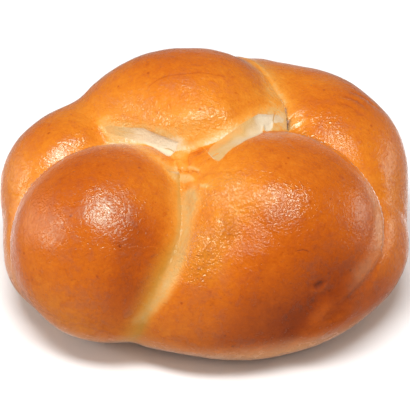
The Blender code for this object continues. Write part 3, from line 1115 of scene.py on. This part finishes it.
def relief_tree():
    """Geometry Nodes that raise and sink the crust along its normals, in broad dimples and fine wrinkles."""
    tree = bpy.data.node_groups.new("crust relief", "GeometryNodeTree")
    board = Board(tree)
    face = tree.interface
    face.new_socket("Geometry", in_out="INPUT", socket_type="NodeSocketGeometry")
    for name in ("Dimple Depth", "Dimple Size", "Crinkle Depth", "Crinkle Size"):
        face.new_socket(name, in_out="INPUT", socket_type="NodeSocketFloat")
    face.new_socket("Seed", in_out="INPUT", socket_type="NodeSocketInt")
    face.new_socket("Crust", in_out="INPUT", socket_type="NodeSocketMaterial")
    face.new_socket("Geometry", in_out="OUTPUT", socket_type="NodeSocketGeometry")
    entry = tree.nodes.new("NodeGroupInput")

    def given(name):
        return Wire(board, entry.outputs[name])

    def named(name):
        return board.node(
            "GeometryNodeInputNamedAttribute", {"data_type": "FLOAT"}, {"Name": name}, output="Attribute"
        )

    def waves(size, detail):
        """Noise between about -1 and 1, a given size from one rise to the next."""
        sockets = {"Vector": place, "W": given("Seed") * 1.0, "Scale": 1.0 / size, "Detail": detail}
        return board.node("ShaderNodeTexNoise", {"noise_dimensions": "4D"}, sockets) * 2.0 - 1.0

    place = board.node("GeometryNodeInputPosition")
    dimples = waves(given("Dimple Size"), detail=1.0) * given("Dimple Depth")
    crinkles = waves(given("Crinkle Size"), detail=2.0) * given("Crinkle Depth") * named("crinkle")
    rise = (dimples + crinkles) * named("lifted")
    normal = board.node("GeometryNodeInputNormal")
    offset = board.node("ShaderNodeVectorMath", {"operation": "SCALE"}, {0: normal, "Scale": rise})
    moved = board.node("GeometryNodeSetPosition", {}, {"Geometry": given("Geometry"), "Offset": offset})
    whole = board.node("GeometryNodeRealizeInstances", {}, {"Geometry": moved})
    dressed = board.node("GeometryNodeSetMaterial", {}, {"Geometry": whole, "Material": given("Crust")})
    board.node("NodeGroupOutput", {}, {0: dressed})
    return tree


def set_inputs(modifier, values):
    """Sets a Geometry Nodes modifier's inputs by name, through each socket's identifier."""
    for item in modifier.node_group.interface.items_tree:
        if item.in_out == "INPUT" and item.name in values:
            modifier[item.identifier] = values[item.name]


def apply_modifiers(piece):
    """Replaces the piece's mesh by the one that its modifiers make, and removes them."""
    graph = bpy.context.evaluated_depsgraph_get()
    finished = bpy.data.meshes.new_from_object(
        piece.evaluated_get(graph), preserve_all_data_layers=True, depsgraph=graph
    )
    piece.modifiers.clear()
    piece.data = finished


class BUN_OT_bread(bpy.types.Operator):
    """Make the bread: one crust with its ropes, folds, tears and glaze wrinkles"""

    bl_idname = "bun.bread"
    bl_label = "Bread"
    bl_options = {"REGISTER", "UNDO"}

    def execute(self, context):
        scene = context.scene
        sizes = scene.bun_sizes
        material = crust_material(scene.bun_finish)
        piece = bpy.data.objects.new("bread_crust", crust_mesh(sizes))
        scene.collection.objects.link(piece)
        relief = piece.modifiers.new("crust relief", "NODES")
        relief.node_group = relief_tree()
        values = {
            "Dimple Depth": sizes.dimple_depth,
            "Dimple Size": sizes.dimple_size,
            "Crinkle Depth": sizes.crinkle_depth,
            "Crinkle Size": sizes.crinkle_size,
            "Seed": sizes.seed,
            "Crust": material,
        }
        set_inputs(relief, values)
        apply_modifiers(piece)
        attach(piece, "root")
        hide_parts("bun")
        return {"FINISHED"}


def area_light(name, towards, size, strength):
    """A soft light that shines on the bun from a direction, of a width and height in metres."""
    light = bpy.data.lights.new(name, "AREA")
    light.shape = "RECTANGLE"
    light.size, light.size_y = size
    light.energy = strength * math.pi * size[0] * size[1]
    holder = bpy.data.objects.new(name, light)
    bpy.context.scene.collection.objects.link(holder)
    away = Vector(towards).normalized()
    holder.location = CAMERA_TARGET + away * LIGHT_DISTANCE
    holder.rotation_euler = away.to_track_quat("Z", "Y").to_euler()


class BUN_OT_studio(bpy.types.Operator):
    """Make the pale floor, the soft light and the camera"""

    bl_idname = "bun.studio"
    bl_label = "Studio"
    bl_options = {"REGISTER", "UNDO"}

    def execute(self, context):
        scene = context.scene
        settings = scene.bun_studio
        half = settings.floor_size / 2
        mesh = bpy.data.meshes.new("floor")
        corners = [(-half, -half, 0.0), (half, -half, 0.0), (half, half, 0.0), (-half, half, 0.0)]
        mesh.from_pydata(corners, [], [(0, 1, 2, 3)])
        material = bpy.data.materials.new("floor")
        material.use_nodes = True
        board = Board(material.node_tree)
        place = board.node("ShaderNodeTexCoord", output="Object")
        shade = board.noise(place, FLOOR_CLOUD_SIZE) * FLOOR_CLOUD_STRENGTH + 0.5
        pale = board.blend(shade, tuple(settings.floor_colour), FLOOR_SHADE)
        sockets = {"Base Color": pale, "Roughness": FLOOR_ROUGHNESS}
        surface = board.node("ShaderNodeBsdfPrincipled", {}, sockets)
        board.node("ShaderNodeOutputMaterial", {}, {"Surface": surface})
        mesh.materials.append(material)
        floor = bpy.data.objects.new("floor", mesh)
        scene.collection.objects.link(floor)
        floor.visible_glossy = False

        for name, towards, size, setting, part in LIGHTS:
            area_light(name, towards, size, getattr(settings, setting) * part)
        world = bpy.data.worlds.new("room")
        world.use_nodes = True
        room = Board(world.node_tree)
        glow = room.node("ShaderNodeBackground", {}, {"Color": WHITE, "Strength": settings.room_radiance})
        room.node("ShaderNodeOutputWorld", {}, {"Surface": glow})
        world.cycles_visibility.glossy = False
        scene.world = world

        camera = bpy.data.cameras.new("camera")
        camera.lens = CAMERA_LENS
        camera.sensor_width = SENSOR_WIDTH
        camera.clip_start = CLIP_NEAR
        camera.clip_end = CLIP_FAR
        holder = bpy.data.objects.new("camera", camera)
        scene.collection.objects.link(holder)
        holder.location = CAMERA_TARGET + TOWARDS_CAMERA * CAMERA_DISTANCE
        holder.rotation_euler = TOWARDS_CAMERA.to_track_quat("Z", "Y").to_euler()
        camera.shift_y = (PICTURE_MIDDLE[1] - PICTURE_WIDTH / 2) / PICTURE_WIDTH
        scene.camera = holder
        scene.view_settings.view_transform = "Standard"
        scene.view_settings.look = "None"
        return {"FINISHED"}


class BUN_PT_panel(bpy.types.Panel):
    """Lists the bun's operators and settings in the sidebar"""

    bl_label = "Sweet Bread Bun"
    bl_idname = "BUN_PT_panel"
    bl_space_type = "VIEW_3D"
    bl_region_type = "UI"
    bl_category = "Bun"

    def draw(self, context):
        for operator in (BUN_OT_bread, BUN_OT_studio):
            self.layout.operator(operator.bl_idname)
        for settings in (context.scene.bun_sizes, context.scene.bun_finish, context.scene.bun_studio):
            for name in settings.__annotations__:
                self.layout.prop(settings, name)


CLASSES = (BunSizes, CrustFinish, StudioSettings, BUN_OT_bread, BUN_OT_studio, BUN_PT_panel)


def register():
    for each in CLASSES:
        bpy.utils.register_class(each)
    bpy.types.Scene.bun_sizes = bpy.props.PointerProperty(type=BunSizes)
    bpy.types.Scene.bun_finish = bpy.props.PointerProperty(type=CrustFinish)
    bpy.types.Scene.bun_studio = bpy.props.PointerProperty(type=StudioSettings)


def unregister():
    del bpy.types.Scene.bun_studio
    del bpy.types.Scene.bun_finish
    del bpy.types.Scene.bun_sizes
    for each in reversed(CLASSES):
        bpy.utils.unregister_class(each)


def main():
    register()
    bpy.ops.bun.bread()
    bpy.ops.bun.studio()


if __name__ == "__main__":
    main()
